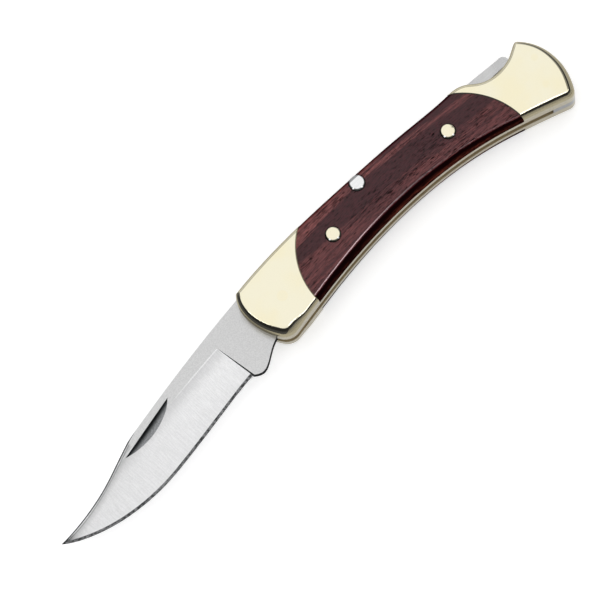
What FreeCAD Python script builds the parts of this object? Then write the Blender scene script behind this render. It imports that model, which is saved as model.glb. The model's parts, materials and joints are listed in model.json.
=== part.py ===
"""Folding lockback pocket knife, laid on its side with the blade open.

Millimetres. The origin is on the blade's pivot axis, at the lower bolster face.
X runs along the handle with the blade towards -X, Y points to the spine, Z is up.
"""
import math
import os

import FreeCAD
import Part

V = FreeCAD.Vector

# Thicknesses through the handle
HANDLE_THICKNESS = 10.6
SLOT = 2.4
LINER = 1.5
SIDE_PLAY = 0.05
WOOD_RECESS = 0.3

# Edge rounding of the handle
BOLSTER_FRONT_TOP_ROUND = 1.2
BOLSTER_FOOT_ROUND = 2.2
BOLSTER_HEEL_ROUND = 2.0
BOLSTER_JOINT_ROUND = 1.0
BOLSTER_REAR_ROUND = 1.5
WOOD_FRONT_ROUND = 1.5
WOOD_MIDDLE_ROUND = 1.93
WOOD_REAR_ROUND = 1.0
SPINE_ROUND = 0.7
ROUND_SHARE_OF_WALL = 0.85
FRONT_CORNER = 3.5
BUTT_CORNER = 1.9
HORN_CORNER = 0.9

# Handle outline, four curves that meet at four corners
FRONT_TOP = (-7.0, 7.2)
HORN = (73.35, 6.5)
BUTT_LOW = (74.5, -11.1)
FRONT_LOW = (-4.83, -7.76)
BELLY_MIDDLE = (33.0, -3.15)
BELLY_FRONT = (1.5, -6.63)
FRONT_FOOT = (-6.35, -5.7)
SPINE = [FRONT_TOP, (0.0, 8.1), (7.0, 8.62), (14.0, 8.85), (28.0, 8.8), (42.0, 8.4), (54.0, 7.82)]
SPINE += [(57.6, 7.55), (59.4, 6.75), (61.3, 5.3), (63.3, 4.35), (65.6, 4.0), (68.2, 4.22)]
SPINE += [(70.2, 4.85), (71.8, 5.75), HORN]
BUTT = [HORN, (75.2, 4.35), (76.6, 1.6), (77.25, -1.6), (77.2, -4.45), (76.3, -7.8), BUTT_LOW]
BELLY = [BUTT_LOW, (65.7, -8.18), (55.6, -5.38), (45.0, -3.68), BELLY_MIDDLE, (22.0, -3.64)]
BELLY += [(10.4, -5.06), BELLY_FRONT, FRONT_LOW]
FRONT = [FRONT_LOW, FRONT_FOOT, (-7.45, -3.8), (-8.2, -1.9), (-8.8, 1.5), (-8.3, 5.0), FRONT_TOP]

# Curved joints between the wood and the bolsters
FRONT_JOINT = (21.78, -5.42)
FRONT_JOINT_RADIUS = 16.86
REAR_JOINT = (45.2, -7.07)
REAR_JOINT_RADIUS = 17.76
JOINT_CHAMFER = 0.2

# Pins and rivets
PIVOT_RADIUS = 1.2
PIVOT_PLAY = 0.05
LOCK_PIN = (28.0, 7.1)
LOCK_PIN_RADIUS = 1.0
LOCK_PIN_HEAD_RADIUS = 1.72
LOCK_PIN_PLAY = 0.05
RIVETS = [(16.75, 2.4), (49.6, 1.9)]
RIVET_RADIUS = 0.9
RIVET_HEAD_RADIUS = 1.62
HEAD_CROWN = 0.09
HEAD_RIM_ROUND = 0.22
HEAD_PLAY = 0.15
HEAD_BELOW_FACE = 0.02
RIVET_SHORT = 0.15
REAR_PINS = [(71.6, -5.1), (73.9, 0.9)]
REAR_PIN_RADIUS = 0.8

# Blade
STOP_GAP = 0.15
NOSE = -1.0
BLADE_SPINE = [(NOSE - STOP_GAP, 7.85), (-8.0, 6.98), (-20.0, 5.24), (-32.0, 3.09), (-44.7, 0.47)]
BLADE_TIP = (-69.5, -5.92)
CLIP = [(-44.7, 0.47), (-50.0, -1.56), (-55.0, -3.42), (-61.0, -4.95), (-66.0, -5.7), BLADE_TIP]
EDGE_END = (-17.2, -7.38)
# Hollow grind: upper line and cutting edge in pairs, from the ricasso to the tip
GRIND_TOP = [(-13.0, 3.1), (-22.0, 1.83), (-31.0, 0.48), (-40.0, -0.85), (-47.0, -1.95)]
GRIND_TOP += [(-53.0, -3.68), (-58.0, -4.92), (-62.5, -5.78), (-66.5, -6.15), (-69.6, -6.0)]
EDGE = [(-11.0, -6.75), (-19.8, -7.72), (-28.5, -9.28), (-37.6, -10.86), (-45.0, -11.79)]
EDGE += [(-52.0, -11.72), (-58.0, -10.83), (-63.2, -9.29), (-67.2, -7.47), (-69.75, -6.0)]
GRIND_DEGREE = 2
HOLLOW_RADIUS = 80.0
BEVEL_WIDTH = 0.62
BEVEL_HALF_THICKNESS = 0.3
EDGE_HALF_THICKNESS = 0.03
SWEDGE = 0.32
TIP_HALF_THICKNESS = 0.4
PLUNGE_LOW = (-15.5, -7.5)
PLUNGE_HIGH = (-17.28, 1.5)
PLUNGE_CORNER = (-17.45, 2.05)
PLUNGE_TOP = (-18.0, 2.35)
PLUNGE_LEAN = 0.3
KICK = [(-15.45, -7.55), (-14.6, -8.05), (-13.6, -8.3), (-12.5, -8.05), (-11.0, -7.22), (-9.5, -6.2)]
KICK += [(-8.0, -5.35), (-6.6, -4.8)]
TANG_RADIUS = 4.7
TANG_LOW_ANGLE = -114.0
NICK_ENDS = [(-32.2, 1.62), (-47.7, -1.92)]
NICK_WIDTH = 2.6
NICK_DEPTH = 0.9

# Lock bar
TOOTH_RADIUS = TANG_RADIUS + STOP_GAP
TOOTH_REAR = (2.2, 4.32)
BAR_TOP = [(NOSE, 7.92), (7.0, 8.55), (14.0, 8.78), (28.0, 8.73), (42.0, 8.33), (56.0, 7.75)]
BAR_TOP += [(68.6, 7.0)]
BAR_END = [(69.9, 6.65), (70.35, 5.6)]
BAR_UNDER = [(69.8, 5.0), (53.0, 5.0), (50.0, 5.25), (38.5, 5.25), (34.0, 4.75), (24.0, 4.75)]
BAR_UNDER += [(19.0, 5.9), (4.4, 5.9)]

# Lock spring and rear spacer
SPRING_ROOT = (71.9, -1.4)
SPRING_BEAD = 0.6
SPRING_PLAY = 0.05
SPRING_TIP = (56.5, 4.65)
SPRING_BEND = (64.5, 1.8)
SPRING_THICKNESS = 0.55
SPRING_WIDTH = 2.0
SPRING_TURN = 8.6
SPRING_ROOM = 0.3
TIP_CLEARANCE = 0.36
SPACER_FRONT_RADIUS = math.hypot(*BLADE_TIP) + TIP_CLEARANCE
SPACER_STEP = (71.3, 0.2)

# How far a cutter reaches past what it cuts
OVERRUN = 12.0

# Stations along the outline's edge, the corners that limit its rounding there, and the roundings
STATIONS = [FRONT_TOP, FRONT_FOOT, FRONT_LOW, BELLY_FRONT, BELLY_MIDDLE, BUTT_LOW, HORN]
CORNERS = [OVERRUN, FRONT_CORNER, FRONT_CORNER, OVERRUN, OVERRUN, BUTT_CORNER, HORN_CORNER]
BOLSTER_ROUNDS = [BOLSTER_FRONT_TOP_ROUND, BOLSTER_FOOT_ROUND, BOLSTER_HEEL_ROUND, BOLSTER_JOINT_ROUND]
BOLSTER_ROUNDS += [BOLSTER_JOINT_ROUND, BOLSTER_REAR_ROUND, SPINE_ROUND]
WOOD_ROUNDS = [WOOD_FRONT_ROUND] * 4 + [WOOD_MIDDLE_ROUND, WOOD_REAR_ROUND, SPINE_ROUND]
MID = HANDLE_THICKNESS / 2
SLOT_LOW = MID - SLOT / 2
SLOT_HIGH = MID + SLOT / 2
BLADE_THICKNESS = SLOT - 2 * SIDE_PLAY
BLADE_LOW = MID - BLADE_THICKNESS / 2


def point(xy, z=0.0):
    """Return a vector from a plan point and a height."""
    return V(xy[0], xy[1], z)


def spline(points, z=0.0):
    """Return an edge that runs smoothly through plan points."""
    curve = Part.BSplineCurve()
    curve.interpolate([point(p, z) for p in points])
    return curve.toShape()


def parted_spline(points, cuts):
    """Return the edges of a smooth curve through plan points, parted at some of the points."""
    curve = Part.BSplineCurve()
    curve.interpolate([point(p) for p in points])
    marks = [curve.FirstParameter] + [curve.parameter(point(c)) for c in cuts] + [curve.LastParameter]
    return [curve.toShape(a, b) for a, b in zip(marks, marks[1:])]


def lines(points, z=0.0):
    """Return straight edges that join plan points."""
    return [Part.makeLine(point(a, z), point(b, z)) for a, b in zip(points, points[1:])]


def arc(start, middle, end, z=0.0):
    """Return an arc edge through three plan points."""
    return Part.Arc(point(start, z), point(middle, z), point(end, z)).toShape()


def polar(radius, degrees):
    """Return the plan point at a radius and angle about the pivot."""
    turn = math.radians(degrees)
    return (radius * math.cos(turn), radius * math.sin(turn))


def prism(edges, low, high):
    """Return the solid over a closed plan outline between two heights."""
    face = Part.Face(Part.Wire(Part.__sortEdges__(edges)))
    face.translate(V(0, 0, low))
    return face.extrude(V(0, 0, high - low))


def disc(xy, radius, low, high):
    """Return an upright cylinder."""
    return Part.makeCylinder(radius, high - low, point(xy, low))


def flipped(shape):
    """Return the shape mirrored to the other side of the handle."""
    return shape.mirror(V(0, 0, MID), V(0, 0, 1))


def upright_edges(shape, corners):
    """Return the upright edges that stand on the given plan corners."""
    found = []
    for edge in shape.Edges:
        a, b = edge.Vertexes[0].Point, edge.Vertexes[-1].Point
        upright = math.hypot(a.x - b.x, a.y - b.y) < 1e-6
        if upright and any(math.hypot(a.x - c[0], a.y - c[1]) < 1e-4 for c in corners):
            found.append(edge)
    return found


def outline_prism(low, high):
    """Return the handle's outline as a solid with three of its corners rounded."""
    belly = parted_spline(BELLY, [BELLY_MIDDLE, BELLY_FRONT])
    solid = prism([spline(SPINE), spline(BUTT), spline(FRONT)] + belly, low, high)
    for corner, size in ((FRONT_LOW, FRONT_CORNER), (BUTT_LOW, BUTT_CORNER), (HORN, HORN_CORNER)):
        solid = solid.makeFillet(size, upright_edges(solid, [corner]))
    return solid


def level_edges(solid, height):
    """Return the edges that lie at a height."""
    found = []
    for edge in solid.Edges:
        heights = [edge.valueAt(p).z for p in edge.ParameterRange]
        heights.append(edge.valueAt(sum(edge.ParameterRange) / 2).z)
        if all(abs(z - height) < 1e-6 for z in heights):
            found.append(edge)
    return found


def on_spine(edge):
    """Say whether an edge runs along the handle's spine."""
    box = edge.BoundBox
    return box.XLength > (HORN[0] - FRONT_TOP[0]) / 2 and box.YMax > FRONT_TOP[1]


def edge_round(place, rounds):
    """Return the rounding at an outline point, which is that of the nearest station."""
    gaps = [math.hypot(place.x - x, place.y - y) for x, y in STATIONS]
    return rounds[gaps.index(min(gaps))]


def cover(low, high, rounds):
    """Return the handle's cover layer with its upper edges rounded."""
    most = [ROUND_SHARE_OF_WALL * min(high - low, corner) for corner in CORNERS]
    rounds = [min(pair) for pair in zip(rounds, most)]
    sheet = FreeCAD.newDocument()
    base = sheet.addObject("Part::Feature", "base")
    base.Shape = outline_prism(low, high)
    fillet = sheet.addObject("Part::Fillet", "fillet")
    fillet.Base = base
    picked = []
    level = level_edges(base.Shape, high)
    for number, edge in enumerate(base.Shape.Edges, 1):
        if any(edge.isSame(other) for other in level):
            ends = [edge_round(edge.valueAt(p), rounds) for p in edge.ParameterRange]
            if on_spine(edge):
                ends = [rounds[-1]] * 2
            picked.append((number, ends[0], ends[1]))
    fillet.Edges = picked
    sheet.recompute()
    solid = fillet.Shape.copy()
    FreeCAD.closeDocument(sheet.Name)
    return solid


def domed_head(xy, radius, shank, low, seat, base):
    """Return a pin with a crowned head: shank from low to seat, head from seat to base and up."""
    ball = (radius * radius + HEAD_CROWN * HEAD_CROWN) / (2 * HEAD_CROWN)
    crown = Part.makeSphere(ball, point(xy, base + HEAD_CROWN - ball))
    head = disc(xy, radius, seat, base + OVERRUN).common(crown.fuse(disc(xy, radius, seat, base)))
    head = head.removeSplitter()
    head = head.makeFillet(HEAD_RIM_ROUND, level_edges(head, base))
    return head.fuse(disc(xy, shank, low, seat)).removeSplitter()


def half_thickness(x):
    """Return half the blade's thickness at a place along it: from the clip's start it thins to the tip."""
    share = (CLIP[0][0] - x) / (CLIP[0][0] - BLADE_TIP[0])
    full = BLADE_THICKNESS / 2
    return full - max(share, 0.0) * (full - TIP_HALF_THICKNESS)


def tip_taper():
    """Return what the taper towards the tip takes from the upper side of the blade."""
    near, far, roof = CLIP[0][0], BLADE_TIP[0] - OVERRUN, MID + BLADE_THICKNESS
    corners = [(near, MID + half_thickness(near)), (far, MID + half_thickness(far)), (far, roof), (near, roof)]
    outline = [V(x, -2 * OVERRUN, z) for x, z in corners + corners[:1]]
    return Part.Face(Part.makePolygon(outline)).extrude(V(0, 4 * OVERRUN, 0))


def grind_section(top, edge):
    """Return one closed section of the hollow grind's cutter, standing on the edge's plan line."""
    half = half_thickness(top[0])
    run = V(edge[0] - top[0], edge[1] - top[1], 0)
    length = run.Length
    run.normalize()
    bevel = min(BEVEL_WIDTH, length * 0.4)
    start = point(top, MID + half)
    knee = point(edge, MID + BEVEL_HALF_THICKNESS) - run * bevel
    end = point(edge, MID + EDGE_HALF_THICKNESS)
    chord = knee - start
    sag = chord.Length * chord.Length / (8 * HOLLOW_RADIUS)
    belly = (start + knee) * 0.5 + V(0, 0, -sag)
    out = end + run * 3
    roof = V(0, 0, MID + BLADE_THICKNESS)
    far = V(out.x, out.y, roof.z)
    near = V(start.x, start.y, roof.z)
    hollow = Part.Arc(start, belly, knee).toShape()
    corners = [knee, end, out, far, near, start]
    rest = [Part.makeLine(a, b) for a, b in zip(corners, corners[1:])]
    return Part.Wire([hollow] + rest)


def grind_cutter():
    """Return what the hollow grind takes from the upper side of the blade."""
    sections = [grind_section(t, e) for t, e in zip(GRIND_TOP, EDGE)]
    loft = Part.makeLoft(sections, True, False, False, GRIND_DEGREE)
    low = min(y for x, y in EDGE) - OVERRUN
    slant = (PLUNGE_LOW[0] - PLUNGE_HIGH[0]) / (PLUNGE_LOW[1] - PLUNGE_HIGH[1])
    below = (PLUNGE_LOW[0] + slant * (low - PLUNGE_LOW[1]), low)
    far, high = BLADE_TIP[0] - OVERRUN, BLADE_SPINE[0][1]
    field = lines([below, PLUNGE_HIGH]) + [arc(PLUNGE_HIGH, PLUNGE_CORNER, PLUNGE_TOP)]
    field += lines([PLUNGE_TOP, (GRIND_TOP[2][0], high), (far, high), (far, low), below])
    reach = Part.Face(Part.Wire(Part.__sortEdges__(field)))
    lean = V(PLUNGE_LEAN * OVERRUN, 0, OVERRUN)
    reach.translate(point((0, 0), MID + BLADE_THICKNESS / 2) - lean)
    return loft.common(reach.extrude(lean * 2))


def nail_nick():
    """Return the cutter of the half-moon nail nick."""
    first, last = (point(end) for end in NICK_ENDS)
    half_chord = (last - first).Length / 2
    wheel = (half_chord * half_chord + NICK_DEPTH * NICK_DEPTH) / (2 * NICK_DEPTH)
    along = (last - first).normalize()
    across = V(-along.y, along.x, 0)
    hub = (first + last) * 0.5 + V(0, 0, MID + BLADE_THICKNESS / 2 + wheel - NICK_DEPTH)
    depth = 3 * NICK_WIDTH
    return Part.makeCone(wheel, wheel - 3 * NICK_DEPTH, depth, hub, across)


def blade():
    """Return the blade with its tang."""
    shoulder = BLADE_SPINE[0]
    floor_angle = math.degrees(math.acos(shoulder[0] / TANG_RADIUS))
    floor = polar(TANG_RADIUS, floor_angle)
    low = polar(TANG_RADIUS, TANG_LOW_ANGLE)
    outline = [spline(BLADE_SPINE), spline(CLIP), spline([BLADE_TIP] + EDGE[8:0:-1] + [EDGE_END])]
    outline += lines([EDGE_END, KICK[0]]) + [spline(KICK)] + lines([KICK[-1], low])
    outline += [arc(low, polar(TANG_RADIUS, 0), floor)] + lines([floor, shoulder])
    blank = prism(outline, BLADE_LOW, BLADE_LOW + BLADE_THICKNESS)
    taper = tip_taper()
    blank = blank.cut(taper).cut(flipped(taper))
    blank = blank.makeChamfer(SWEDGE, [e for e in blank.Edges if on_clip(e)])
    cutter = grind_cutter()
    body = blank.cut(cutter).cut(flipped(cutter)).cut(nail_nick())
    return body.cut(disc((0, 0), PIVOT_RADIUS + PIVOT_PLAY, 0, HANDLE_THICKNESS))


def on_clip(edge):
    """Say whether an edge of the blank runs along the clip's top or bottom."""
    low, high = sorted(edge.valueAt(p).x for p in edge.ParameterRange)
    return abs(low - BLADE_TIP[0]) < 1e-3 and abs(high - CLIP[0][0]) < 1e-3


def lock_bar():
    """Return the rocking lock bar with its tooth."""
    nose_low = (BAR_TOP[0][0], math.sqrt(TOOTH_RADIUS ** 2 - BAR_TOP[0][0] ** 2))
    tooth_end = polar(TOOTH_RADIUS, math.degrees(math.atan2(TOOTH_REAR[1], TOOTH_REAR[0])))
    outline = [spline(BAR_TOP), arc(BAR_TOP[-1], BAR_END[0], BAR_END[1])]
    outline += lines([BAR_END[1]] + BAR_UNDER + [tooth_end])
    outline += [arc(tooth_end, polar(TOOTH_RADIUS, 80), nose_low)] + lines([nose_low, BAR_TOP[0]])
    body = prism(outline, BLADE_LOW, BLADE_LOW + BLADE_THICKNESS)
    return body.cut(disc(LOCK_PIN, LOCK_PIN_RADIUS + LOCK_PIN_PLAY, 0, HANDLE_THICKNESS))


def spring_strip(thickness, low, high):
    """Return the spring's leaf, from its root to its tip, at a given thickness."""
    middle = arc(SPRING_ROOT, SPRING_BEND, SPRING_TIP)
    first = middle.tangentAt(middle.FirstParameter)
    last = middle.tangentAt(middle.LastParameter)
    up_first = V(first.y, -first.x, 0) * (thickness / 2)
    up_last = V(last.y, -last.x, 0) * (thickness / 2)
    root, tip, bend = point(SPRING_ROOT), point(SPRING_TIP), point(SPRING_BEND)
    up_bend = middle.tangentAt(middle.Curve.parameter(bend))
    up_bend = V(up_bend.y, -up_bend.x, 0) * (thickness / 2)
    upper = Part.Arc(root + up_first, bend + up_bend, tip + up_last).toShape()
    lower = Part.Arc(tip - up_last, bend - up_bend, root - up_first).toShape()
    ends = [Part.makeLine(tip + up_last, tip - up_last), Part.makeLine(root - up_first, root + up_first)]
    return prism([upper, lower] + ends, low, high)


def lock_spring():
    """Return the leaf spring with the bead that sits in the rear spacer."""
    low, high = MID - SPRING_WIDTH / 2, MID + SPRING_WIDTH / 2
    bead = disc(SPRING_ROOT, SPRING_BEAD, low, high)
    return spring_strip(SPRING_THICKNESS, low, high).fuse(bead).removeSplitter()


def rear_spacer():
    """Return the steel spacer that holds the liners apart at the butt."""
    whole = outline_prism(SLOT_LOW, SLOT_HIGH)
    front = [polar(SPACER_FRONT_RADIUS, turn) for turn in (0, -6, -12)]
    far, low, high = max(x for x, y in BUTT) + OVERRUN, BUTT_LOW[1] - OVERRUN, HORN[1] + OVERRUN
    keep = lines([front[2], (far, low), (far, high), (SPACER_STEP[0], high), SPACER_STEP, front[0]])
    keep.append(arc(*front))
    body = whole.common(prism(keep, SLOT_LOW - 1, SLOT_HIGH + 1))
    room = spring_strip(SPRING_THICKNESS + SPRING_ROOM, 0, HANDLE_THICKNESS)
    turned = room.copy()
    turned.rotate(point(SPRING_ROOT), V(0, 0, 1), SPRING_TURN)
    halfway = room.copy()
    halfway.rotate(point(SPRING_ROOT), V(0, 0, 1), SPRING_TURN / 2)
    seat = disc(SPRING_ROOT, SPRING_BEAD + SPRING_PLAY, 0, HANDLE_THICKNESS)
    body = body.cut(room.multiFuse([halfway, turned, seat]))
    return drilled(body, REAR_PINS, REAR_PIN_RADIUS)


def drilled(shape, places, radius):
    """Return the shape with upright holes right through it."""
    for place in places:
        shape = shape.cut(disc(place, radius, -1, HANDLE_THICKNESS + 1))
    return shape


def joint_prism(centre, radius, forward):
    """Return the space ahead of the front joint, or behind the rear one."""
    side = -1 if forward else 1
    far = min(x for x, y in FRONT) - OVERRUN if forward else max(x for x, y in BUTT) + OVERRUN
    top = (centre[0], centre[1] + radius)
    low = (centre[0], centre[1] - radius)
    edges = [arc(top, (centre[0] + side * radius, centre[1]), low)]
    edges += lines([low, (far, low[1]), (far, top[1]), top])
    return prism(edges, -1, HANDLE_THICKNESS + 1)


def joint_chamfer(centre, radius):
    """Return the cutter of the small chamfer on a bolster's joint edge."""
    base = point(centre, HANDLE_THICKNESS - JOINT_CHAMFER)
    return Part.makeCone(radius, radius + 2 * JOINT_CHAMFER, 2 * JOINT_CHAMFER, base)


def upper_side():
    """Return the pieces of the upper half of the handle by name."""
    cover_low = SLOT_HIGH + LINER
    wood_top = HANDLE_THICKNESS - WOOD_RECESS
    front_space = joint_prism(FRONT_JOINT, FRONT_JOINT_RADIUS, True)
    rear_space = joint_prism(REAR_JOINT, REAR_JOINT_RADIUS, False)
    metal = cover(cover_low, HANDLE_THICKNESS, BOLSTER_ROUNDS)
    front = metal.common(front_space).cut(joint_chamfer(FRONT_JOINT, FRONT_JOINT_RADIUS))
    rear = metal.common(rear_space).cut(joint_chamfer(REAR_JOINT, REAR_JOINT_RADIUS))
    wood_layer = cover(cover_low, wood_top, WOOD_ROUNDS)
    wood = wood_layer.cut(front_space).cut(rear_space)
    liner = outline_prism(SLOT_HIGH, cover_low)
    liner = drilled(liner, [(0, 0)], PIVOT_RADIUS)
    liner = drilled(liner, [LOCK_PIN], LOCK_PIN_RADIUS)
    liner = drilled(liner, RIVETS, RIVET_RADIUS)
    wood = drilled(wood, [LOCK_PIN], LOCK_PIN_HEAD_RADIUS + HEAD_PLAY)
    wood = drilled(wood, RIVETS, RIVET_HEAD_RADIUS + HEAD_PLAY)
    made = {
        "front_bolster": drilled(front, [(0, 0)], PIVOT_RADIUS),
        "rear_bolster": drilled(rear, REAR_PINS, REAR_PIN_RADIUS),
        "scale": wood,
        "liner": drilled(liner, REAR_PINS, REAR_PIN_RADIUS),
    }
    crown_base = HANDLE_THICKNESS - HEAD_BELOW_FACE - HEAD_CROWN
    for name, place in zip(("front_rivet", "rear_rivet"), RIVETS):
        made[name] = domed_head(
            place, RIVET_HEAD_RADIUS, RIVET_RADIUS, SLOT_HIGH + RIVET_SHORT, cover_low, crown_base)
    return made


def lock_pin():
    """Return the lock bar's pin with a domed head on each side, flush with the spine."""
    cover_low = SLOT_HIGH + LINER
    crown_base = HANDLE_THICKNESS - HEAD_BELOW_FACE - HEAD_CROWN
    half = domed_head(LOCK_PIN, LOCK_PIN_HEAD_RADIUS, LOCK_PIN_RADIUS, MID, cover_low, crown_base)
    whole = half.fuse(flipped(half)).removeSplitter()
    upper = cover(MID, HANDLE_THICKNESS, WOOD_ROUNDS)
    return whole.common(upper.fuse(flipped(upper)))


def build():
    """Return every piece of the knife by its node name."""
    pieces = {
        "blade": blade(),
        "lock_bar": lock_bar(),
        "lock_spring": lock_spring(),
        "rear_spacer": rear_spacer(),
        "pivot_pin": disc((0, 0), PIVOT_RADIUS, 0, HANDLE_THICKNESS),
        "lock_bar_pin": lock_pin(),
        "rear_pin_low": disc(REAR_PINS[0], REAR_PIN_RADIUS, 0, HANDLE_THICKNESS),
        "rear_pin_high": disc(REAR_PINS[1], REAR_PIN_RADIUS, 0, HANDLE_THICKNESS),
    }
    for name, shape in upper_side().items():
        pieces[name + "_upper"] = shape
        pieces[name + "_lower"] = flipped(shape)
    return pieces


os.makedirs("parts", exist_ok=True)
for node, shape in build().items():
    if len(shape.Solids) != 1 or not shape.isValid():
        raise RuntimeError(node + " is not one sound solid")
    shape.Solids[0].exportStep("parts/" + node + ".step")
    print(node, round(shape.Volume, 2))
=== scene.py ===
"""Looks of a folding lockback knife, laid open on a pale table.

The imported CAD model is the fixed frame. This script gives its pieces their finishes, and sets
up the table, the lamps and the camera. The studio's lengths are metres. The finishes' lengths
are millimetres in the knife's own frame: X runs to the butt, Y to the spine, and Z is up.
"""
from __future__ import annotations

import json
import logging
import math
from dataclasses import dataclass, field
from enum import Enum
from typing import Protocol

import bpy
from mathutils import Matrix, Vector

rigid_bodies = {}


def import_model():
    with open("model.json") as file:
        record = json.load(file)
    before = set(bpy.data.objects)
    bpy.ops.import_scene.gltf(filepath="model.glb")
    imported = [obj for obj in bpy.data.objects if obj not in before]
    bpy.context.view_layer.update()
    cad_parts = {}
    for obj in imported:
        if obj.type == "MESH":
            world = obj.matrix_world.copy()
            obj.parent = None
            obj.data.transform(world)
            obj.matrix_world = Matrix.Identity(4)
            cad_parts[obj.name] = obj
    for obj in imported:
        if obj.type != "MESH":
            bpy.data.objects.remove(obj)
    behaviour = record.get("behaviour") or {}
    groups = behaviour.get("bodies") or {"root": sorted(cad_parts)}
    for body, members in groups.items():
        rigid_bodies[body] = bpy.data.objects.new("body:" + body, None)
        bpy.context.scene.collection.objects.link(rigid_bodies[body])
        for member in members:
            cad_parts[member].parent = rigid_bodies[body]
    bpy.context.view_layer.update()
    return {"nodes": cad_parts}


LOG = logging.getLogger("knife")
PER_MM = 1000.0

Pair = tuple[float, float]
Triple = tuple[float, float, float]
Curve = tuple[float, ...]
Socket = bpy.types.NodeSocket
Number = Socket | float
Colour = Socket | Triple
Nodes = dict[str, bpy.types.Object]


class Side(Enum):
    """The two sides of the handle."""

    UPPER = "upper"
    LOWER = "lower"


def scaled(tint: Triple, share: float) -> Triple:
    """Give a colour times a share."""
    return tuple(part * share for part in tint)


@dataclass(frozen=True)
class Grain:
    """A noise pattern, with its scale in cycles per millimetre along each axis."""

    scale: Triple
    detail: float = 3.0
    rough: float = 0.5


class Bench:
    """A material being made, with one principled shader at its end."""

    def __init__(self, name: str) -> None:
        """Start a material.

        Args:
            name: The material's name.
        """
        self.material = bpy.data.materials.new(name)
        self.material.use_nodes = True
        self.tree = self.material.node_tree
        self.shader = self.tree.nodes["Principled BSDF"]

    def add(self, kind: str, **settings: object) -> bpy.types.Node:
        """Add a node.

        Args:
            kind: The node type's name after ShaderNode.
            **settings: Properties to set on it.

        Returns:
            The new node.
        """
        node = self.tree.nodes.new("ShaderNode" + kind)
        for key, value in settings.items():
            setattr(node, key, value)
        return node

    def feed(self, socket: Socket, value: Number | Colour) -> None:
        """Link a socket to an input, or set the input's own value.

        Args:
            socket: The input socket.
            value: An output socket, a number or a colour.
        """
        if isinstance(value, bpy.types.NodeSocket):
            self.tree.links.new(value, socket)
        elif isinstance(value, tuple) and socket.type == "RGBA":
            socket.default_value = (*value, 1.0)
        else:
            socket.default_value = value

    def give(self, name: str, value: Number | Colour) -> None:
        """Feed one of the shader's own inputs by its name."""
        self.feed(self.shader.inputs[name], value)

    def place(self, turn: float = 0.0) -> Socket:
        """Give the piece's own coordinates in millimetres.

        Args:
            turn: Angle in degrees about Z.

        Returns:
            A vector socket.
        """
        mapping = self.add("Mapping", vector_type="POINT")
        self.feed(mapping.inputs["Vector"], self.add("TexCoord").outputs["Object"])
        mapping.inputs["Rotation"].default_value = (0.0, 0.0, math.radians(turn))
        mapping.inputs["Scale"].default_value = (PER_MM, PER_MM, PER_MM)
        return mapping.outputs["Vector"]

    def axes(self, vector: Socket) -> tuple[Socket, Socket, Socket]:
        """Split a vector into its parts.

        Args:
            vector: The vector's socket.

        Returns:
            The sockets of its parts along X, Y and Z.
        """
        parts = self.add("SeparateXYZ")
        self.feed(parts.inputs[0], vector)
        return tuple(parts.outputs)

    def facing(self) -> tuple[Socket, Socket, Socket]:
        """Give the parts of the surface's direction in the piece's own frame."""
        return self.axes(self.add("TexCoord").outputs["Normal"])

    def to_butt(self) -> Socket:
        """Give how far a face leans to the butt, from -1 to 1."""
        return self.facing()[0]

    def to_spine(self) -> Socket:
        """Give how far a face leans to the spine, from -1 to 1."""
        return self.facing()[1]

    def upright(self) -> Socket:
        """Give how far a face looks up or down: 1 on a level face, 0 on a side."""
        return self.size(self.facing()[2])

    def reckon(self, operation: str, first: Number, second: Number = 0.0) -> Socket:
        """Work out a number from one or two others.

        Args:
            operation: The maths node's operation.
            first: A socket or number.
            second: A socket or number, where the operation takes two.

        Returns:
            The result's socket.
        """
        node = self.add("Math", operation=operation)
        self.feed(node.inputs[0], first)
        self.feed(node.inputs[1], second)
        return node.outputs["Value"]

    def plus(self, first: Number, second: Number) -> Socket:
        """Add two numbers."""
        return self.reckon("ADD", first, second)

    def minus(self, first: Number, second: Number) -> Socket:
        """Take the second number from the first."""
        return self.reckon("SUBTRACT", first, second)

    def times(self, first: Number, second: Number) -> Socket:
        """Multiply two numbers."""
        return self.reckon("MULTIPLY", first, second)

    def over(self, first: Number, second: Number) -> Socket:
        """Divide the first number by the second."""
        return self.reckon("DIVIDE", first, second)

    def most(self, first: Number, second: Number) -> Socket:
        """Give the larger of two numbers."""
        return self.reckon("MAXIMUM", first, second)

    def above(self, first: Number, second: Number) -> Socket:
        """Give 1 where the first number is the larger, and 0 elsewhere."""
        return self.reckon("GREATER_THAN", first, second)

    def size(self, number: Number) -> Socket:
        """Give a number without its sign."""
        return self.reckon("ABSOLUTE", number)

    def root(self, number: Number) -> Socket:
        """Give a number's square root."""
        return self.reckon("SQRT", number)

    def noise(self, grain: Grain, place: Socket) -> Socket:
        """Give smooth noise, about 0.5 on average.

        Args:
            grain: The pattern.
            place: The place in millimetres.

        Returns:
            The noise's socket.
        """
        stretch = self.add("VectorMath", operation="MULTIPLY")
        self.feed(stretch.inputs[0], place)
        stretch.inputs[1].default_value = grain.scale
        node = self.add("TexNoise", noise_dimensions="3D")
        self.feed(node.inputs["Vector"], stretch.outputs["Vector"])
        node.inputs["Scale"].default_value = 1.0
        node.inputs["Detail"].default_value = grain.detail
        node.inputs["Roughness"].default_value = grain.rough
        return node.outputs["Fac"]

    def span(self, value: Socket, limits: Pair, start: float = 0.0, end: float = 1.0) -> Socket:
        """Map a value from one range to another, smoothly and clamped.

        Args:
            value: The value's socket.
            limits: Values that give start and end.
            start: Result at the first limit.
            end: Result at the second limit.

        Returns:
            The result's socket.
        """
        node = self.add("MapRange", interpolation_type="SMOOTHSTEP", clamp=True)
        names = ("From Min", "From Max", "To Min", "To Max")
        for name, number in zip(names, (*limits, start, end)):
            node.inputs[name].default_value = number
        self.feed(node.inputs["Value"], value)
        return node.outputs["Result"]

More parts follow.
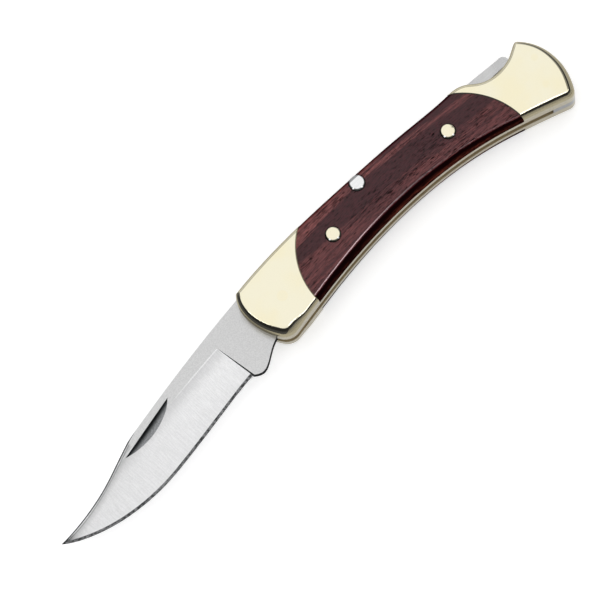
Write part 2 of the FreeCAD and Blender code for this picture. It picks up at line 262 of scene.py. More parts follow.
    def fall(self, value: Socket, limits: Pair) -> Socket:
        """Give 1 before the limits and 0 past them, smoothly."""
        return self.span(value, limits, 1.0, 0.0)

    def level(self, share: Number, first: Number, second: Number) -> Socket:
        """Mix two numbers.

        Args:
            share: Share of the second number.
            first: A socket or number.
            second: A socket or number.

        Returns:
            The mixed number's socket.
        """
        node = self.add("Mix", data_type="FLOAT", clamp_factor=True)
        self.feed(node.inputs[0], share)
        self.feed(node.inputs[2], first)
        self.feed(node.inputs[3], second)
        return node.outputs[0]

    def blend(self, share: Number, first: Colour, second: Colour) -> Socket:
        """Mix two colours.

        Args:
            share: Share of the second colour.
            first: A socket or colour.
            second: A socket or colour.

        Returns:
            The mixed colour's socket.
        """
        node = self.add("Mix", data_type="RGBA", blend_type="MIX")
        self.feed(node.inputs[0], share)
        self.feed(node.inputs[6], first)
        self.feed(node.inputs[7], second)
        return node.outputs[2]

    def dim(self, colour: Socket, share: Socket) -> Socket:
        """Give a colour times a share that varies.

        Args:
            colour: The colour's socket.
            share: The share's socket.

        Returns:
            The result's socket.
        """
        node = self.add("VectorMath", operation="SCALE")
        self.feed(node.inputs[0], colour)
        self.feed(node.inputs["Scale"], share)
        return node.outputs["Vector"]

    def bump(self, height: Socket, depth: float, strength: float = 1.0) -> None:
        """Roughen the surface.

        Args:
            height: The relief's socket.
            depth: The relief's depth in millimetres.
            strength: Share of the relief that shows.
        """
        node = self.add("Bump")
        node.inputs["Strength"].default_value = strength
        node.inputs["Distance"].default_value = depth / PER_MM
        self.feed(node.inputs["Height"], height)
        self.give("Normal", node.outputs["Normal"])


class Finish(Protocol):
    """What every finish can do."""

    def material(self) -> bpy.types.Material:
        """Make the finish's material."""


@dataclass
class Palette:
    """The materials made so far, one for each finish."""

    made: dict[Finish, bpy.types.Material] = field(default_factory=dict)

    def paint(self, node: bpy.types.Object, finish: Finish) -> None:
        """Put a finish on every material slot of a CAD node.

        Args:
            node: The node's object.
            finish: The finish, whose material is made on first use.
        """
        if finish not in self.made:
            self.made[finish] = finish.material()
        for slot in node.material_slots:
            slot.material = self.made[finish]
        LOG.info("%s: %s", node.name, self.made[finish].name)


@dataclass(frozen=True)
class Head:
    """Painted shade on the rim of a domed pin head, widest on the side away from the lamps.

    A head that is ground down along the spine gets painted shade past its cut.
    """

    centre: Pair
    face_radius: float = 1.44
    shift: Pair = (0.13, 0.14)
    fade: float = 0.10
    # Painted shade: the colour of the dark rim.
    painted_rim_shade: Triple = (0.02, 0.02, 0.018)
    rim_share: float = 0.90
    # Painted highlights: where the small white glints sit, from the head's centre.
    painted_glints: tuple[Pair, ...] = ((-1.30, -0.38), (0.30, -1.33))
    glint_size: Pair = (0.14, 0.27)
    painted_glint_tint: Triple = (1.0, 1.0, 1.0)
    cut: float | None = None
    # Painted shade: the colour past the cut.
    painted_cut_shade: Triple = (0.08, 0.08, 0.08)
    cut_share: float = 0.7

    def shade(self, bench: Bench, colour: Socket) -> Socket:
        """Paint shade at the rim and past the cut, and paint glints, which are small highlights.

        Args:
            bench: The material being made.
            colour: The head's own colour.

        Returns:
            The shaded colour's socket.
        """
        along, height, _ = bench.axes(bench.place())
        # Painted shade: a dark rim, widest on the side away from the lamps.
        reach = self.reach(bench, along, height, self.shift)
        rim = bench.span(reach, self.around(self.face_radius), 0.0, self.rim_share)
        colour = bench.blend(rim, colour, self.painted_rim_shade)
        # Painted highlights: small white glints on the rim.
        for glint in self.painted_glints:
            reach = self.reach(bench, along, height, glint)
            colour = bench.blend(bench.fall(reach, self.glint_size), colour, self.painted_glint_tint)
        # Painted shade: a grey band past the cut, along the spine.
        if self.cut is not None:
            ground = bench.span(height, self.around(self.cut), 0.0, self.cut_share)
            colour = bench.blend(ground, colour, self.painted_cut_shade)
        return colour

    def around(self, edge: float) -> Pair:
        """Give the limits of the fade around an edge."""
        return (edge - self.fade, edge + self.fade)

    def reach(self, bench: Bench, along: Socket, height: Socket, shift: Pair) -> Socket:
        """Give the distance from a place on the head.

        Args:
            bench: The material being made.
            along: The place along the handle.
            height: The place across the handle.
            shift: Where the place is from the head's centre.

        Returns:
            The distance's socket.
        """
        across = bench.minus(along, self.centre[0] + shift[0])
        up = bench.minus(height, self.centre[1] + shift[1])
        return bench.root(bench.plus(bench.times(across, across), bench.times(up, up)))


@dataclass(frozen=True)
class Brass:
    """Buffed brass, cream on the polished faces, with painted shade on the rougher sides.

    The rounded edges have a band of painted shade, which starts lower on the edges that
    face the blade.
    """

    name: str
    tint: Triple = (0.855, 0.812, 0.635)
    warm_tint: Triple = (0.860, 0.800, 0.580)
    # Painted shade: the sides' colour, darker than the faces'.
    shaded_side_tint: Triple = (0.36, 0.32, 0.215)
    # Painted shade: the colour of the dark band on the rounded edges.
    painted_edge_shade: Triple = (0.075, 0.072, 0.060)
    roughness: float = 0.09
    side_roughness: float = 0.26
    roughness_spread: Pair = (0.8, 1.2)
    face_metal: float = 1.0
    clouds: Grain = Grain((0.13, 0.13, 0.13))
    warm_limits: Pair = (0.35, 0.70)
    lines: Grain = Grain((0.25, 9.0, 9.0), rough=0.6)
    line_limits: Pair = (0.3, 0.7)
    line_shade: float = 0.86
    line_depth: float = 0.0002
    side_limits: Pair = (0.35, 0.75)
    edge_start: float = 0.90
    front_edge_start: float = 0.66
    front_limits: Pair = (-0.6, -0.2)
    edge_fade: float = 0.03
    edge_end: Pair = (0.968, 0.986)
    spine_limits: Pair = (0.55, 0.80)
    least_slope: float = 0.0001
    head: Head | None = None

    def material(self) -> bpy.types.Material:
        """Make the material.

        Returns:
            The new material.
        """
        bench = Bench(self.name)
        clouds = bench.noise(self.clouds, bench.place())
        lines = bench.noise(self.lines, bench.place())
        streaks = bench.span(lines, self.line_limits)
        face = bench.span(bench.upright(), self.side_limits)
        polished = bench.blend(bench.span(clouds, self.warm_limits), self.tint, self.warm_tint)
        # Painted shade: the sides are darker than the faces.
        shaded_brass_sides = bench.blend(streaks, self.shaded_side_tint, scaled(self.shaded_side_tint, self.line_shade))
        colour = bench.blend(face, shaded_brass_sides, polished)
        # Painted shade: a dark band on the rounded edges.
        colour = bench.blend(self.rounded(bench), colour, self.painted_edge_shade)
        if self.head is not None:
            colour = self.head.shade(bench, colour)
        bench.give("Base Color", colour)
        rough = bench.level(face, self.side_roughness, self.roughness)
        spread = bench.span(lines, self.line_limits, *self.roughness_spread)
        bench.give("Roughness", bench.times(rough, spread))
        plain = self.face_metal == 1.0
        bench.give("Metallic", 1.0 if plain else bench.level(face, 1.0, self.face_metal))
        bench.bump(lines, self.line_depth)
        return bench.material

    def rounded(self, bench: Bench) -> Socket:
        """Find the rounded edges that get painted shade, except those along the spine.

        The least slope keeps a level face from a division by zero.

        Args:
            bench: The material being made.

        Returns:
            A socket that is 1 on those edges and 0 elsewhere.
        """
        upright = bench.upright()
        squared = bench.minus(1.0 + self.least_slope, bench.times(upright, upright))
        slope = bench.root(squared)
        to_spine = bench.over(bench.to_spine(), slope)
        to_butt = bench.over(bench.to_butt(), slope)
        start = bench.span(to_butt, self.front_limits, self.front_edge_start, self.edge_start)
        begun = bench.span(bench.minus(upright, start), (-self.edge_fade, self.edge_fade))
        edge = bench.times(begun, bench.fall(upright, self.edge_end))
        return bench.times(edge, bench.fall(to_spine, self.spine_limits))


@dataclass(frozen=True)
class Steel:
    """Brushed or polished steel with fine lines along the handle, and painted shade on its sides.
    """

    name: str
    tint: Triple = (0.84, 0.84, 0.845)
    # Painted shade: the sides' colour, darker than the faces'.
    shaded_side_tint: Triple = (0.19, 0.195, 0.205)
    roughness: float = 0.3
    roughness_spread: Pair = (0.85, 1.2)
    clouds: Grain = Grain((0.3, 0.3, 0.3), rough=0.6)
    lines: Grain = Grain((0.12, 8.0, 8.0), rough=0.6)
    noise_limits: Pair = (0.3, 0.7)
    line_shade: float = 0.92
    side_line_shade: float = 0.85
    line_depth: float = 0.0008
    side_limits: Pair = (0.35, 0.75)
    head: Head | None = None

    def material(self) -> bpy.types.Material:
        """Make the material.

        Returns:
            The new material.
        """
        bench = Bench(self.name)
        clouds = bench.noise(self.clouds, bench.place())
        lines = bench.noise(self.lines, bench.place())
        streaks = bench.span(lines, self.noise_limits)
        face = bench.span(bench.upright(), self.side_limits)
        bright = bench.blend(streaks, self.tint, scaled(self.tint, self.line_shade))
        # Painted shade: the sides are darker than the faces.
        shaded_steel_sides = bench.blend(streaks, self.shaded_side_tint, scaled(self.shaded_side_tint, self.side_line_shade))
        colour = bench.blend(face, shaded_steel_sides, bright)
        if self.head is not None:
            colour = self.head.shade(bench, colour)
        bench.give("Base Color", colour)
        spread = (self.roughness * share for share in self.roughness_spread)
        bench.give("Roughness", bench.span(clouds, self.noise_limits, *spread))
        bench.give("Metallic", 1.0)
        bench.bump(lines, self.line_depth)
        return bench.material


@dataclass(frozen=True)
class BladeSteel:
    """Blade steel: matte flats, and a ground face with fine lines across the blade.

    The steep faces, which are the edge bevel and the nail nick, are coarser and have painted
    shade, darkest along the nick's upper edge. The swedge, the walls that face the belly and the
    end wall of the grind have painted shade too, while the spine is brushed. The grind has
    painted shade below the flats and below the swedge, a thin painted dark line below the
    swedge, and a painted highlight along its top line. Each curve is given as the factors of 1,
    x and so on.
    """

    name: str = "blade_ground_steel"
    flat_tint: Triple = (0.735, 0.735, 0.735)
    flat_shade: float = 0.86
    flat_roughness: float = 0.36
    flat_limit: float = 0.9998
    ground_tint: Triple = (0.795, 0.795, 0.80)
    ground_shade: float = 0.90
    ground_dust: Pair = (1.03, 0.95)
    ground_roughness: float = 0.30
    # Painted shade: the steep faces' colour.
    shaded_steep_tint: Triple = (0.29, 0.295, 0.30)
    steep_shade: float = 0.22
    steep_metal: float = 0.15
    steep_limits: Pair = (0.955, 0.980)
    # Painted shade: the colour of the walls that face the belly, and of the swedge.
    shaded_side_tint: Triple = (0.035, 0.036, 0.037)
    side_limits: Pair = (0.70, 0.88)
    spine_tint: Triple = (0.50, 0.50, 0.51)
    spine_shade: float = 0.85
    spine_limits: Pair = (0.1, 0.3)
    bevel_limits: Pair = (0.15, 0.30)
    lines: Grain = Grain((0.08, 4.6, 4.6), rough=0.7)
    line_turn: float = 86.0
    line_limits: Pair = (0.34, 0.66)
    grit: Grain = Grain((3.6, 3.6, 3.6), rough=0.75)
    grit_limits: Pair = (0.36, 0.64)
    burr: Grain = Grain((1.7, 1.7, 1.7), rough=0.7)
    burr_limits: Pair = (0.40, 0.60)
    relief: float = 0.0003
    # Painted shade in the nail nick, from its dark upper edge to its lighter floor.
    painted_nick_shade: Triple = (0.020, 0.022, 0.023)
    painted_nick_light: Triple = (0.40, 0.41, 0.42)
    nick_grit: float = 0.45
    nick_top: Curve = (8.735, 0.2233)
    nick_fade: Pair = (0.1, 1.5)
    nick_bottom: Pair = (2.3, 2.6)
    nick_end: float = -47.9
    grind_top: Curve = (4.31, 0.12)
    # Painted shade below the flats.
    top_fade: Pair = (0.0, 3.4)
    top_shade: float = 0.83
    # Painted highlight: a light line along the grind's top.
    lip_depth: float = 0.1
    lip_fade: Pair = (0.05, 0.2)
    painted_lip_highlight: float = 1.25
    clip_origin: float = -50.0
    clip_curve: Curve = (-1.59818, 0.37888, 0.00377, -0.00025)
    swedge_ends: Pair = (-45.2, -44.6)
    swedge_shade: float = 0.92
    # Painted shade: a thin dark line below the swedge, and darker grind below it.
    dark_line_depth: float = 0.62
    dark_line_fade: Pair = (0.04, 0.17)
    dark_line_shade: float = 0.55
    hollow_fade: Pair = (0.6, 2.2)
    hollow_shade: float = 0.78

    def material(self) -> bpy.types.Material:
        """Make the material.

        Returns:
            The new material.
        """
        bench = Bench(self.name)
        place = bench.place()
        along, up, _ = bench.axes(place)
        lines = bench.span(bench.noise(self.lines, bench.place(self.line_turn)), self.line_limits)
        grit = bench.span(bench.noise(self.grit, place), self.grit_limits)
        upright = bench.upright()
        flat = bench.above(upright, self.flat_limit)
        level = bench.span(upright, self.steep_limits)
        wall = bench.span(upright, self.side_limits)
        spine = bench.span(bench.to_spine(), self.spine_limits)
        spine = bench.times(spine, bench.fall(upright, self.bevel_limits))
        ground = bench.blend(lines, self.ground_tint, scaled(self.ground_tint, self.ground_shade))
        dust = bench.level(grit, *self.ground_dust)
        # Painted shade and highlight on the grind, times the dust's varying tone.
        ground = bench.dim(ground, bench.times(dust, self.painted_grind_shading(bench, along, up)))
        matte = bench.blend(grit, self.flat_tint, scaled(self.flat_tint, self.flat_shade))
        burr = bench.span(bench.noise(self.burr, place), self.burr_limits)
        # Painted shade on the steep faces, mottled.
        steep = bench.blend(burr, self.shaded_steep_tint, scaled(self.shaded_steep_tint, self.steep_shade))
        steep = self.nick(bench, along, up, grit, steep)
        face = bench.blend(level, steep, bench.blend(flat, ground, matte))
        brushed = bench.blend(lines, self.spine_tint, scaled(self.spine_tint, self.spine_shade))
        # Painted shade on the walls that face the belly and on the swedge; the spine is brushed.
        sides = bench.blend(spine, self.shaded_side_tint, brushed)
        bench.give("Base Color", bench.blend(wall, sides, face))
        metal = bench.level(level, self.steep_metal, 1.0)
        bench.give("Metallic", bench.level(wall, spine, metal))
        bench.give("Specular IOR Level", 0.0)
        bench.give("Roughness", bench.level(flat, self.ground_roughness, self.flat_roughness))
        bench.bump(bench.level(flat, lines, grit), self.relief)
        return bench.material

    def curve(self, bench: Bench, along: Socket, factors: Curve) -> Socket:
        """Give the height of a curve over a place along the blade.

        Args:
            bench: The material being made.
            along: The place.
            factors: The factors of 1, x and so on.

        Returns:
            The height's socket.
        """
        height: Number = factors[-1]
        for factor in factors[-2::-1]:
            height = bench.plus(bench.times(height, along), factor)
        return height

    def nick(self, bench: Bench, along: Socket, up: Socket, grit: Socket, steep: Socket) -> Socket:
        """Paint shade in the nail nick, darkest along its straight upper edge.

        Args:
            bench: The material being made.
            along: The place along the blade.
            up: The place across the blade.
            grit: The fine specks.
            steep: The colour of the other steep faces.

        Returns:
            The steep faces' colour, with the nick's.
        """
        under = bench.minus(self.curve(bench, along, self.nick_top), up)
        # Painted shade: dark at the nick's upper edge, lighter further down.
        colour = bench.blend(bench.span(under, self.nick_fade), self.painted_nick_shade, self.painted_nick_light)
        colour = bench.blend(bench.level(grit, 0.0, self.nick_grit), colour, self.painted_nick_shade)
        inside = bench.fall(under, self.nick_bottom)
        inside = bench.times(inside, bench.above(along, self.nick_end))
        return bench.blend(inside, steep, colour)

    def painted_grind_shading(self, bench: Bench, along: Socket, up: Socket) -> Socket:
        """Give the painted shade and highlight on the grind, below the flats and the swedge.

        Args:
            bench: The material being made.
            along: The place along the blade.
            up: The place across the blade.

        Returns:
            The brightness's socket, 1 on the plain grind.
        """
        below_top = bench.minus(self.curve(bench, along, self.grind_top), up)
        # Painted shade below the flats.
        shade = bench.span(below_top, self.top_fade, self.top_shade, 1.0)
        # Painted highlight: a light line along the grind's top.
        lip = bench.size(bench.minus(below_top, self.lip_depth))
        shade = bench.times(shade, bench.span(lip, self.lip_fade, self.painted_lip_highlight, 1.0))
        past = bench.minus(along, self.clip_origin)
        below_clip = bench.minus(self.curve(bench, past, self.clip_curve), up)
        # Painted shade: a thin dark line, and darker grind below the swedge.
        dark_line = bench.size(bench.minus(below_clip, self.dark_line_depth))
        dark_line = bench.span(dark_line, self.dark_line_fade, self.dark_line_shade, 1.0)
        hollow = bench.span(below_clip, self.hollow_fade, self.hollow_shade, 1.0)
        below_swedge = bench.above(below_clip, self.hollow_fade[0])
        hollow = bench.level(below_swedge, self.swedge_shade, hollow)
        swedge = bench.fall(along, self.swedge_ends)
        return bench.times(shade, bench.level(swedge, 1.0, bench.times(dark_line, hollow)))


@dataclass(frozen=True)
class Spot:
    """A place on the wood: along and across the handle, and along the bent grain."""

    along: Socket
    height: Socket
    grain: Socket


@dataclass(frozen=True)
class Wood:
    """Polished dark red hardwood: one dark band along the handle, red wood on both sides.

    The band's upper edge is an arch over the handle's middle, and its lower edge falls gently
    towards the butt. Past the middle, dark wood comes back above the arch, and leaves a thin
    red streak along it. The rounded edges and the sides are bare and have painted shade, which
    makes them nearly black, with brown streaks below. A painted highlight line runs along the
    belly edge and fades towards the butt.
    """

    name: str = "scale_hardwood"
    dark: Triple = (0.046, 0.0060, 0.0098)
    dark_spread: Pair = (0.68, 1.28)
    red: Triple = (0.250, 0.068, 0.065)
    pore: Triple = (0.004, 0.0015, 0.0015)
    # Painted shade: the near-black colour of the rounded edges and the sides.
    shaded_side_dark: Triple = (0.005, 0.0010, 0.0013)
    side_red: Triple = (0.125, 0.026, 0.016)
    # Painted highlight: the colour of the line along the belly edge.
    painted_highlight_tint: Triple = (0.24, 0.155, 0.165)
    roughness: float = 0.6
    painted_highlight_roughness: float = 0.16
    gloss: float = 0.83
    gloss_limits: Pair = (0.965, 0.985)
    spine_gloss_limits: Pair = (0.90, 0.98)
    coat_roughness: float = 0.04
    coat_index: float = 1.45
    arch_top: float = 6.45
    arch_centre: float = 28.0
    arch_fall: float = 0.0027
    arch_edge: Pair = (-0.25, 0.30)
    grain_bend: float = 0.0015
    wander: Grain = Grain((0.05, 0.2, 0.3), 2.0)
    wander_reach: float = 0.6
    ragged: Grain = Grain((0.07, 2.6, 2.6), 5.0, 0.7)
    ragged_reach: float = 1.3
    cover_limits: Pair = (4.0, 10.0)
    streak_edge: Pair = (0.9, 1.4)
    rear_limits: Pair = (2.0, 14.0)
    rear_share: float = 0.62
    fall_start: float = 3.4
    fall_rate: float = 0.050
    low_edge: Pair = (-0.55, 0.20)
    low_share: float = 0.52
    dim_centre: float = 29.0
    dim_limits: Pair = (4.0, 11.0)
    dim_share: float = 0.6
    streaks: Grain = Grain((0.055, 2.1, 2.1), 5.0, 0.7)
    streak_limits: Pair = (0.38, 0.60)
    streak_least: float = 0.22
    fibres: Grain = Grain((0.7, 6.0, 6.0), rough=0.7)
    fibre_limits: Pair = (0.38, 0.62)
    fibre_spread: Pair = (0.50, 1.15)
    dashes: Grain = Grain((0.75, 8.5, 8.5), 1.0)
    crowds: Grain = Grain((0.08, 0.35, 0.35), 2.0)
    crowd_reach: float = 0.2
    row_drop: float = 1.0
    row_limits: Pair = (0.2, 1.6)
    row_boost: float = 0.05
    pore_limits: Pair = (0.63, 0.69)
    pore_share: float = 0.95
    side_grain: Grain = Grain((0.35, 5.0, 3.0), 4.0, 0.7)
    side_grain_limits: Pair = (0.40, 0.62)
    side_limits: Pair = (0.94, 0.985)
    low_limits: Pair = (0.40, 0.80)
    brown_centre: float = 42.0
    brown_limits: Pair = (6.0, 24.0)
    brown_least: float = 0.3
    spine_limits: Pair = (0.1, 0.4)
    spine_share: float = 0.5
    highlight_start: Pair = (0.060, 0.085)
    highlight_end: Pair = (0.150, 0.175)
    highlight_run: Pair = (18.0, 48.0)
    fibre_relief: float = 0.25
    relief: float = 0.008
    relief_share: float = 0.4

    def material(self) -> bpy.types.Material:
        """Make the material.

        Returns:
            The new material.
        """
        bench = Bench(self.name)
        spot = self.spot(bench)
        upright = bench.upright()
        fibres = bench.noise(self.fibres, spot.grain)
        share, under = self.redness(bench, spot)
        pores = self.pores(bench, spot, under)
        colour = self.figure(bench, spot, share, fibres)
        colour = bench.blend(pores, colour, self.pore)
        # Painted shade on the rounded edges and the sides.
        colour = self.sides(bench, spot, upright, colour)
        # Painted highlight: a line along the belly edge, metallic so that it shines.
        edge = self.belly_highlight(bench, spot)
        bench.give("Base Color", bench.blend(edge, colour, self.painted_highlight_tint))
        bench.give("Metallic", edge)
        bench.give("Roughness", bench.level(edge, self.roughness, self.painted_highlight_roughness))
        bench.give("Specular IOR Level", 0.0)
        gloss = bench.span(upright, self.gloss_limits, 0.0, self.gloss)
        rim = bench.span(bench.to_spine(), self.spine_gloss_limits, 0.0, self.gloss)
        gloss = bench.times(bench.most(gloss, rim), bench.minus(1.0, pores))
        bench.give("Coat Weight", gloss)
        bench.give("Coat Roughness", self.coat_roughness)
        bench.give("Coat IOR", self.coat_index)
        relief = bench.minus(bench.times(fibres, self.fibre_relief), pores)
        bench.bump(relief, self.relief, self.relief_share)
        return bench.material

    def spot(self, bench: Bench) -> Spot:
        """Give the place on the wood, with the grain bent along the handle.

        Args:
            bench: The material being made.

        Returns:
            The place's sockets.
        """
        along, height, depth = bench.axes(bench.place())
        off = bench.minus(along, self.arch_centre)
        bend = bench.times(bench.times(off, off), self.grain_bend)
        bent = bench.add("CombineXYZ")
        for socket, part in zip(bent.inputs, (along, bench.plus(height, bend), depth)):
            bench.feed(socket, part)
        return Spot(along, height, bent.outputs["Vector"])

    def redness(self, bench: Bench, spot: Spot) -> tuple[Socket, Socket]:
        """Give the share of red wood, and the height above the dark band's lower edge.

        Args:
            bench: The material being made.
            spot: The place on the wood.

        Returns:
            The share's socket and the height's socket.
        """
        wander = bench.noise(self.wander, spot.grain)
        ragged = bench.noise(self.ragged, spot.grain)
        drift = bench.plus(bench.level(wander, -self.wander_reach, self.wander_reach),
                           bench.level(ragged, -self.ragged_reach, self.ragged_reach))
        off = bench.minus(spot.along, self.arch_centre)
        fall = bench.times(bench.times(off, off), self.arch_fall)
        over = bench.minus(bench.plus(spot.height, fall), self.arch_top)
        over = bench.plus(over, drift)
        slope = bench.times(spot.along, self.fall_rate)
        under = bench.minus(bench.plus(spot.height, slope), self.fall_start)
        under = bench.plus(under, drift)
        cover = bench.times(bench.span(off, self.cover_limits), bench.span(over, self.streak_edge))
        upper = bench.times(bench.span(over, self.arch_edge), bench.minus(1.0, cover))
        upper = bench.times(upper, bench.span(off, self.rear_limits, 1.0, self.rear_share))
        lower = bench.span(under, self.low_edge, self.low_share, 0.0)
        beside = bench.size(bench.minus(spot.along, self.dim_centre))
        lower = bench.times(lower, bench.span(beside, self.dim_limits, self.dim_share, 1.0))
        return bench.most(upper, lower), under

    def figure(self, bench: Bench, spot: Spot, share: Socket, fibres: Socket) -> Socket:
        """Give the wood's colour, with its streaks and fibres.

        Args:
            bench: The material being made.
            spot: The place on the wood.
            share: The share of red wood.
            fibres: The fibres' noise.

        Returns:
            The colour's socket.
        """
        streaks = bench.noise(self.streaks, spot.grain)
        streaks = bench.span(streaks, self.streak_limits, self.streak_least, 1.0)
        fleck = bench.span(fibres, self.fibre_limits)
        share = bench.times(share, streaks)
        share = bench.times(share, bench.level(fleck, *self.fibre_spread))
        deep = bench.blend(fleck, *(scaled(self.dark, part) for part in self.dark_spread))
        return bench.blend(share, deep, self.red)

    def pores(self, bench: Bench, spot: Spot, under: Socket) -> Socket:
        """Give the pores, short dark dashes that crowd along the dark band's lower edge.

        Args:
            bench: The material being made.
            spot: The place on the wood.
            under: The height above the band's lower edge.

        Returns:
            The pores' socket, 0 on plain wood.
        """
        crowds = bench.noise(self.crowds, spot.grain)
        dashes = bench.plus(bench.noise(self.dashes, spot.grain),
                            bench.level(crowds, -self.crowd_reach, self.crowd_reach))
        row = bench.size(bench.plus(under, self.row_drop))
        dashes = bench.plus(dashes, bench.span(row, self.row_limits, self.row_boost, 0.0))
        return bench.span(dashes, self.pore_limits, 0.0, self.pore_share)

    def sides(self, bench: Bench, spot: Spot, upright: Socket, colour: Socket) -> Socket:
        """Paint shade on the rounded edges and the sides.

        Args:
            bench: The material being made.
            spot: The place on the wood.
            upright: How far the face looks up.
            colour: The face's colour.

        Returns:
            The colour's socket.
        """
        grain = bench.noise(self.side_grain, spot.grain)
        brown = bench.span(grain, self.side_grain_limits)
        brown = bench.times(brown, bench.fall(upright, self.low_limits))
        off = bench.size(bench.minus(spot.along, self.brown_centre))
        brown = bench.times(brown, bench.span(off, self.brown_limits, 1.0, self.brown_least))
        # Painted shade on the belly side: nearly black, with the wood's brown streaks.
        belly = bench.blend(brown, self.shaded_side_dark, self.side_red)
        # Painted shade on the spine side: half dark.
        spine = bench.blend(self.spine_share, colour, self.shaded_side_dark)
        side = bench.blend(bench.span(bench.to_spine(), self.spine_limits), belly, spine)
        return bench.blend(bench.fall(upright, self.side_limits), colour, side)

    def belly_highlight(self, bench: Bench, spot: Spot) -> Socket:
        """Find the painted highlight line along the belly edge.

        Args:
            bench: The material being made.
            spot: The place on the wood.

        Returns:
            A socket that is 1 on the line and 0 elsewhere.
        """
        # Painted highlight: a band of the belly edge's rounding.
        lean = bench.times(bench.to_spine(), -1.0)
        edge = bench.times(bench.span(lean, self.highlight_start), bench.fall(lean, self.highlight_end))
        return bench.times(edge, bench.fall(spot.along, self.highlight_run))


@dataclass
class HandleSide:
    """One side of the handle: bolsters, wood scale, liner and scale rivets."""

    side: Side
    bolster: Brass = Brass("bolster_polished_brass", side_limits=(0.82, 0.94))
    scale: Wood = Wood()
    liner: Brass = Brass("liner_satin_brass", (0.44, 0.35, 0.20), (0.40, 0.31, 0.17),
                         roughness=0.6, face_metal=0.3, line_depth=0.0006)
    front_rivet: Brass = Brass("rivet_front_brass", roughness=0.07, head=Head((16.75, 2.4)))
    rear_rivet: Brass = Brass("rivet_rear_brass", roughness=0.07, head=Head((49.6, 1.9)))

    def dress(self, nodes: Nodes, palette: Palette) -> None:
        """Give each piece of this side its finish.

        Args:
            nodes: The CAD nodes by name.
            palette: The materials made so far.
        """
        finishes = {
            "front_bolster": self.bolster,
            "rear_bolster": self.bolster,
            "scale": self.scale,
            "liner": self.liner,
            "front_rivet": self.front_rivet,
            "rear_rivet": self.rear_rivet,
        }
        for piece, finish in finishes.items():
            palette.paint(nodes[f"{piece}_{self.side.value}"], finish)


@dataclass
class Works:
    """Blade, lock bar, spring, spacer and the pins through the handle."""

    blade: BladeSteel = BladeSteel()
    lock_bar: Steel = Steel("lock_bar_satin_steel", (0.62, 0.62, 0.62), roughness=0.24)
    lock_spring: Steel = Steel("spring_steel", (0.45, 0.45, 0.47))
    rear_spacer: Steel = Steel("spacer_steel", (0.60, 0.60, 0.62), roughness=0.25)
    lock_bar_pin: Steel = Steel(
        "pin_polished_steel", (0.84, 0.845, 0.85), roughness=0.08, line_depth=0.0,
        head=Head((28.0, 7.1), 1.52, painted_glints=((-1.42, -0.42), (0.2, -1.42)), cut=8.05))
    flush_pin: Brass = Brass("pin_flush_brass", (0.856, 0.803, 0.600), (0.860, 0.795, 0.565))

    def dress(self, nodes: Nodes, palette: Palette) -> None:
        """Give each working piece its finish.

        Args:
            nodes: The CAD nodes by name.
            palette: The materials made so far.
        """
        finishes = {
            "blade": self.blade,
            "lock_bar": self.lock_bar,
            "lock_spring": self.lock_spring,
            "rear_spacer": self.rear_spacer,
            "lock_bar_pin": self.lock_bar_pin,
            "pivot_pin": self.flush_pin,
            "rear_pin_low": self.flush_pin,
            "rear_pin_high": self.flush_pin,
        }
        for piece, finish in finishes.items():
            palette.paint(nodes[piece], finish)


@dataclass(frozen=True)
class Lamp:
    """A flat rectangular lamp."""

    name: str
    place: Triple
    size: Pair
    radiance: float
    aim: Triple | None = None
    in_reflections: bool = True

    def hang(self) -> None:
        """Make the lamp, facing down or towards its aim."""
        data = bpy.data.lights.new(self.name, "AREA")
        data.shape = "RECTANGLE"
        data.size, data.size_y = self.size
        data.energy = self.radiance * math.pi * self.size[0] * self.size[1]
        lamp = bpy.data.objects.new(self.name, data)
        bpy.context.scene.collection.objects.link(lamp)
        lamp.location = self.place
        if self.aim is not None:
            line = Vector(self.aim) - Vector(self.place)
            lamp.rotation_euler = line.to_track_quat("-Z", "Y").to_euler()
        lamp.visible_glossy = self.in_reflections
        lamp.visible_camera = False
        LOG.info("%s: lamp", self.name)


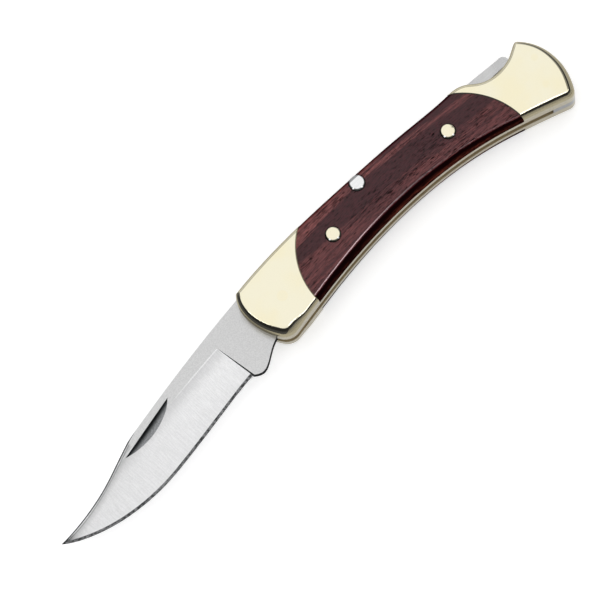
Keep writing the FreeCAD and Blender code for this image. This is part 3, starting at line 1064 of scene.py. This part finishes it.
@dataclass
class Studio:
    """Pale table, lamps, surroundings and the camera."""

    floor_size: float = 12.0
    floor_drop: float = 0.00005
    floor_tint: Triple = (0.82, 0.82, 0.82)
    floor_glow: float = 0.46
    floor_roughness: float = 0.9
    wall_light: float = 0.85
    ceiling_light: float = 0.26
    ceiling_limits: Pair = (0.48, 0.66)
    front_limits: Pair = (-0.75, -0.35)
    front_share: float = 0.85
    target: Triple = (0.0020458, -0.0032796, 0.0106)
    distance: float = 0.7
    azimuth: float = -108.6
    elevation: float = 76.4
    roll: float = -24.611
    lens: float = 199.525
    sensor: float = 36.0
    clip: Pair = (0.01, 100.0)
    lamps: tuple[Lamp, ...] = (
        Lamp("softbox", (-0.04, 0.305, 1.2), (0.90, 0.55), 0.81),
        Lamp("blade_panel", (-0.16, -0.13, 1.2), (0.38, 0.32), 0.74),
        Lamp("belly_strip", (0.175, -0.02, 1.19), (0.25, 0.13), 2.7),
        Lamp("corner_strip", (0.45, -0.02, 1.19), (0.10, 0.08), 4.0),
        Lamp("front_strip", (-0.43, 0.17, 1.19), (0.10, 0.26), 4.0),
        Lamp("spine_card", (0.1, 0.98, 0.95), (1.8, 1.0), 0.24, aim=(0.0, 0.0, 0.0)),
        Lamp("fill", (0.0, 0.0, 1.5), (2.4, 2.4), 0.62, in_reflections=False),
    )

    def build(self) -> None:
        """Set up the table, lamps, surroundings and camera."""
        self.lay_floor()
        for lamp in self.lamps:
            lamp.hang()
        self.surround()
        self.aim_camera()

    def lay_floor(self) -> None:
        """Make the table that the knife lies on."""
        drop = (0.0, 0.0, -self.floor_drop)
        bpy.ops.mesh.primitive_plane_add(size=self.floor_size, location=drop)
        floor = bpy.context.active_object
        floor.name = "table"
        bench = Bench("pale_table")
        bench.give("Base Color", self.floor_tint)
        bench.give("Roughness", self.floor_roughness)
        bench.give("Specular IOR Level", 0.0)
        path = bench.add("LightPath").outputs
        seen = bench.most(path["Is Camera Ray"], path["Is Glossy Ray"])
        seen = bench.most(seen, path["Is Transmission Ray"])
        bench.give("Emission Strength", bench.times(seen, self.floor_glow))
        bench.give("Emission Color", (1.0, 1.0, 1.0))
        floor.data.materials.append(bench.material)

    def surround(self) -> None:
        """Make the surroundings: pale walls below a darker ceiling, and a dimmer front wall."""
        world = bpy.data.worlds.new("surroundings")
        world.use_nodes = True
        tree = world.node_tree
        direction = tree.nodes.new("ShaderNodeTexCoord").outputs["Generated"]
        parts = tree.nodes.new("ShaderNodeSeparateXYZ")
        tree.links.new(direction, parts.inputs[0])
        ramp = tree.nodes.new("ShaderNodeValToRGB")
        lights = (self.wall_light, self.ceiling_light)
        for stop, place, light in zip(ramp.color_ramp.elements, self.ceiling_limits, lights):
            stop.position = place
            stop.color = (light, light, light, 1.0)
        tree.links.new(parts.outputs["Z"], ramp.inputs["Fac"])
        shade = tree.nodes.new("ShaderNodeMapRange")
        shade.interpolation_type = "SMOOTHSTEP"
        numbers = (*self.front_limits, self.front_share)
        for name, number in zip(("From Min", "From Max", "To Min"), numbers):
            shade.inputs[name].default_value = number
        tree.links.new(parts.outputs["X"], shade.inputs["Value"])
        background = tree.nodes["Background"]
        tree.links.new(ramp.outputs["Color"], background.inputs["Color"])
        tree.links.new(shade.outputs["Result"], background.inputs["Strength"])
        bpy.context.scene.world = world

    def aim_camera(self) -> None:
        """Set the camera where the photographer's was."""
        scene = bpy.context.scene
        data = bpy.data.cameras.new("camera")
        data.lens, data.sensor_width = self.lens, self.sensor
        data.clip_start, data.clip_end = self.clip
        camera = bpy.data.objects.new("camera", data)
        scene.collection.objects.link(camera)
        turn, lift = math.radians(self.azimuth), math.radians(self.elevation)
        level = math.cos(lift)
        back = Vector((level * math.cos(turn), level * math.sin(turn), math.sin(lift)))
        right = Vector((0.0, 0.0, 1.0)).cross(back).normalized()
        up = back.cross(right)
        axes = Matrix((right, up, back)).transposed()
        spin = Matrix.Rotation(math.radians(self.roll), 3, "Z")
        place = Vector(self.target) + back * self.distance
        camera.matrix_world = Matrix.Translation(place) @ (axes @ spin).to_4x4()
        scene.camera = camera
        scene.view_settings.view_transform = "Standard"


def clear() -> None:
    """Remove whatever objects the file starts with."""
    for thing in list(bpy.data.objects):
        bpy.data.objects.remove(thing, do_unlink=True)


def main() -> None:
    """Dress the knife and light it."""
    logging.basicConfig(level=logging.INFO, format="%(name)s %(message)s")
    clear()
    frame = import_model()
    palette = Palette()
    for side in Side:
        HandleSide(side).dress(frame["nodes"], palette)
    Works().dress(frame["nodes"], palette)
    Studio().build()


if __name__ == "__main__":
    main()
